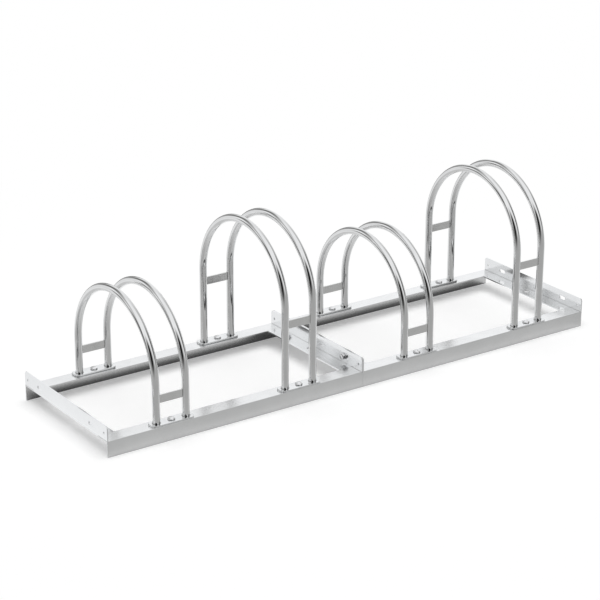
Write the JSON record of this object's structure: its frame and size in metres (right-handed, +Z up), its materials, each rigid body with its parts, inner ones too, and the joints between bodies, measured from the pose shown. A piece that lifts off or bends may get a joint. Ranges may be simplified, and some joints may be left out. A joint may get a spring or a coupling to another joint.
{
  "type": "bike parking stand",
  "caption": "Low floor stand for parking bikes: a frame of steel angle with pairs of bent tube hoops, alternately low and high, that each hold a wheel upright.",
  "frame": {"origin": "on the floor, midway between the two ends and between the front and rear rails", "axes": "+X along the rails from the low end pair to the high end pair, -Y towards the person who parks a bike, +Z up"},
  "size_m": [1.4004, 0.384, 0.417],
  "materials": {
    "rail_steel": "bright zinc over rolled steel angle, faint lengthwise grain",
    "angle_steel": "bright zinc over rolled steel angle",
    "hoop_steel": "bright zinc over drawn steel tube, smooth",
    "bar_steel": "bright zinc over flat steel bar",
    "plate_steel": "bright zinc over flat steel bar",
    "bolt_steel": "zinc plated fastener",
    "nut_steel": "zinc plated fastener",
    "washer_steel": "zinc plated washer"
  },
  "bodies": {
    "root": {"front_rail_left": "rail_steel", "front_rail_right": "rail_steel", "rear_rail_left": "rail_steel", "rear_rail_right": "rail_steel", "end_angle_left": "angle_steel", "joint_angle_left": "angle_steel", "joint_angle_right": "angle_steel", "end_angle_right": "angle_steel", "hoop_1_left": "hoop_steel", "hoop_1_right": "hoop_steel", "hoop_2_left": "hoop_steel", "hoop_2_right": "hoop_steel", "hoop_3_left": "hoop_steel", "hoop_3_right": "hoop_steel", "hoop_4_left": "hoop_steel", "hoop_4_right": "hoop_steel", "spacer_bar_1_front": "bar_steel", "spacer_bar_1_rear": "bar_steel", "spacer_bar_2_front": "bar_steel", "spacer_bar_2_rear": "bar_steel", "spacer_bar_3_front": "bar_steel", "spacer_bar_3_rear": "bar_steel", "spacer_bar_4_front": "bar_steel", "spacer_bar_4_rear": "bar_steel", "foot_plate_1_front": "plate_steel", "foot_plate_1_rear": "plate_steel", "foot_plate_2_front": "plate_steel", "foot_plate_2_rear": "plate_steel", "foot_plate_3_front": "plate_steel", "foot_plate_3_rear": "plate_steel", "foot_plate_4_front": "plate_steel", "foot_plate_4_rear": "plate_steel", "foot_bolt_1_front": "bolt_steel", "foot_bolt_1_rear": "bolt_steel", "foot_bolt_2_front": "bolt_steel", "foot_bolt_2_rear": "bolt_steel", "foot_bolt_3_front": "bolt_steel", "foot_bolt_3_rear": "bolt_steel", "foot_bolt_4_front": "bolt_steel", "foot_bolt_4_rear": "bolt_steel", "foot_nut_1_front": "nut_steel", "foot_nut_1_rear": "nut_steel", "foot_nut_2_front": "nut_steel", "foot_nut_2_rear": "nut_steel", "foot_nut_3_front": "nut_steel", "foot_nut_3_rear": "nut_steel", "foot_nut_4_front": "nut_steel", "foot_nut_4_rear": "nut_steel", "joint_bolt_front": "bolt_steel", "joint_bolt_rear": "bolt_steel", "joint_nut_front": "nut_steel", "joint_nut_rear": "nut_steel", "joint_washer_front_left": "washer_steel", "joint_washer_front_right": "washer_steel", "joint_washer_rear_left": "washer_steel", "joint_washer_rear_right": "washer_steel"}
  },
  "joints": []
}
